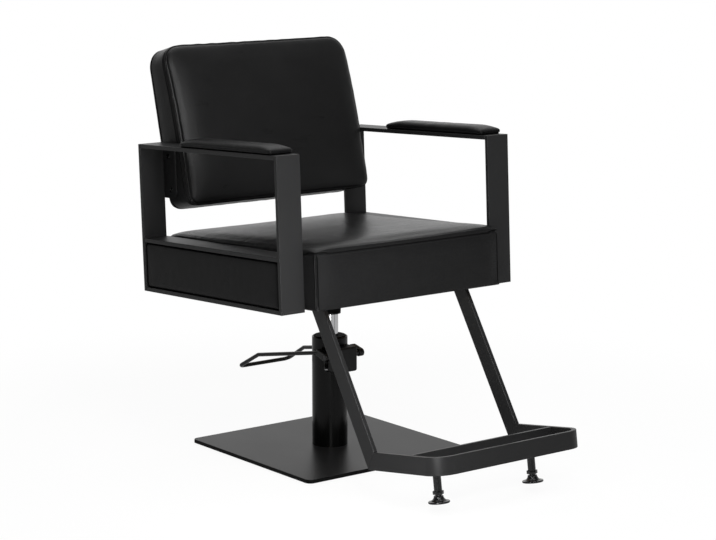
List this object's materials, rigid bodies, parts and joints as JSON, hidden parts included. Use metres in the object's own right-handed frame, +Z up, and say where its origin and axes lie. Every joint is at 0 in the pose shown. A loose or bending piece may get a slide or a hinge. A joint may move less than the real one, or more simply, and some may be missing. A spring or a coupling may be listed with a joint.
{
  "type": "hairdressing chair",
  "caption": "Black hydraulic hairdressing chair with a square base plate, pump pedal, box seat between flat-bar arm frames, reclined back and a footrest with levelling feet.",
  "frame": {"origin": "on the floor, on the axis of the pump column, at the underside of the centre pad", "axes": "+X to the sitter's left, -Y to the front, +Z up"},
  "size_m": [0.63, 0.9779, 0.9018],
  "materials": {
    "black_powder_coat": "satin powder coat",
    "black_gloss": "gloss black",
    "black_steel": "satin black",
    "black_casting": "black, rough cast",
    "black_leather": "soft satin, sewn",
    "chrome": "polished",
    "steel": "ground",
    "bronze": "plain",
    "rubber": "matt",
    "plywood": "raw"
  },
  "bodies": {
    "base": {"base_plate": "black_powder_coat", "glide_front_right": "rubber", "glide_front_left": "rubber", "glide_rear_right": "rubber", "glide_rear_left": "rubber", "centre_pad": "rubber", "base_bolt": "steel", "column_sleeve": "black_gloss", "column_cap": "black_gloss", "cylinder": "black_casting", "gland": "bronze", "wiper_seal": "rubber", "pump_block": "black_casting", "shaft_bush_right": "bronze", "shaft_bush_left": "bronze", "plunger_spring": "steel"},
    "pedal": {"pedal_shaft": "steel", "pedal_hub_right": "black_steel", "pedal_hub_left": "black_steel", "pedal_set_bolt": "black_gloss", "pedal_loop": "black_steel", "pump_finger": "steel"},
    "plunger": {"plunger": "steel"},
    "lift": {"ram": "chrome", "piston_head": "black_casting", "piston_seal": "rubber", "swivel_washer": "black_steel"},
    "seat": {"swivel_hub": "black_steel", "mount_plate": "black_steel", "seat_board": "plywood", "seat_cushion": "black_leather", "back_cushion": "black_leather", "front_post_right": "black_powder_coat", "rear_post_right": "black_powder_coat", "top_bar_right": "black_powder_coat", "mid_bar_right": "black_powder_coat", "bottom_bar_right": "black_powder_coat", "side_panel_right": "black_leather", "arm_pad_right": "black_leather", "back_bracket_right": "black_powder_coat", "footrest_flange_right": "black_powder_coat", "footrest_bar_right": "black_powder_coat", "front_post_left": "black_powder_coat", "rear_post_left": "black_powder_coat", "top_bar_left": "black_powder_coat", "mid_bar_left": "black_powder_coat", "bottom_bar_left": "black_powder_coat", "side_panel_left": "black_leather", "arm_pad_left": "black_leather", "back_bracket_left": "black_powder_coat", "footrest_flange_left": "black_powder_coat", "footrest_bar_left": "black_powder_coat", "footrest_loop": "black_powder_coat", "footrest_crossbar": "black_powder_coat", "foot_boss_right": "black_powder_coat", "foot_boss_left": "black_powder_coat"},
    "foot_right": {"foot_stem_right": "black_steel"},
    "pad_right": {"foot_pad_right": "black_gloss"},
    "foot_left": {"foot_stem_left": "black_steel"},
    "pad_left": {"foot_pad_left": "black_gloss"}
  },
  "joints": [
    {"name": "seat_lift", "type": "slide", "parent": "base", "child": "lift", "axis": [0, 0, 1], "range_m": [0, 0.13]},
    {"name": "seat_swivel", "type": "hinge", "parent": "lift", "child": "seat", "pos_m": [0, 0, 0.3135], "axis": [0, 0, 1], "continuous": true},
    {"name": "pump_pedal", "type": "hinge", "parent": "base", "child": "pedal", "pos_m": [0, -0.05, 0.2239], "axis": [1, 0, 0], "range_deg": [-24, 0], "stiffness_Nm_per_rad": 4, "springref_deg": 28.65},
    {"name": "pump_plunger", "type": "slide", "parent": "base", "child": "plunger", "axis": [0, 0, 1], "range_m": [-0.0041, 0], "deforming": ["plunger_spring"]},
    {"name": "foot_screw_right", "type": "slide", "parent": "seat", "child": "foot_right", "axis": [0, -0.1478, -0.989], "range_m": [-0.0025, 0.01]},
    {"name": "foot_tilt_right", "type": "hinge", "parent": "foot_right", "child": "pad_right", "pos_m": [-0.1285, -0.53968, 0.0274], "axis": [1, 0, 0], "range_deg": [-9, 9]},
    {"name": "foot_screw_left", "type": "slide", "parent": "seat", "child": "foot_left", "axis": [0, -0.1478, -0.989], "range_m": [-0.0025, 0.01]},
    {"name": "foot_tilt_left", "type": "hinge", "parent": "foot_left", "child": "pad_left", "pos_m": [0.1285, -0.53968, 0.0274], "axis": [1, 0, 0], "range_deg": [-9, 9]}
  ],
  "couplings": [
    {"joint": "pump_plunger", "follows": "pump_pedal", "m_per_rad": 0.0096}
  ]
}
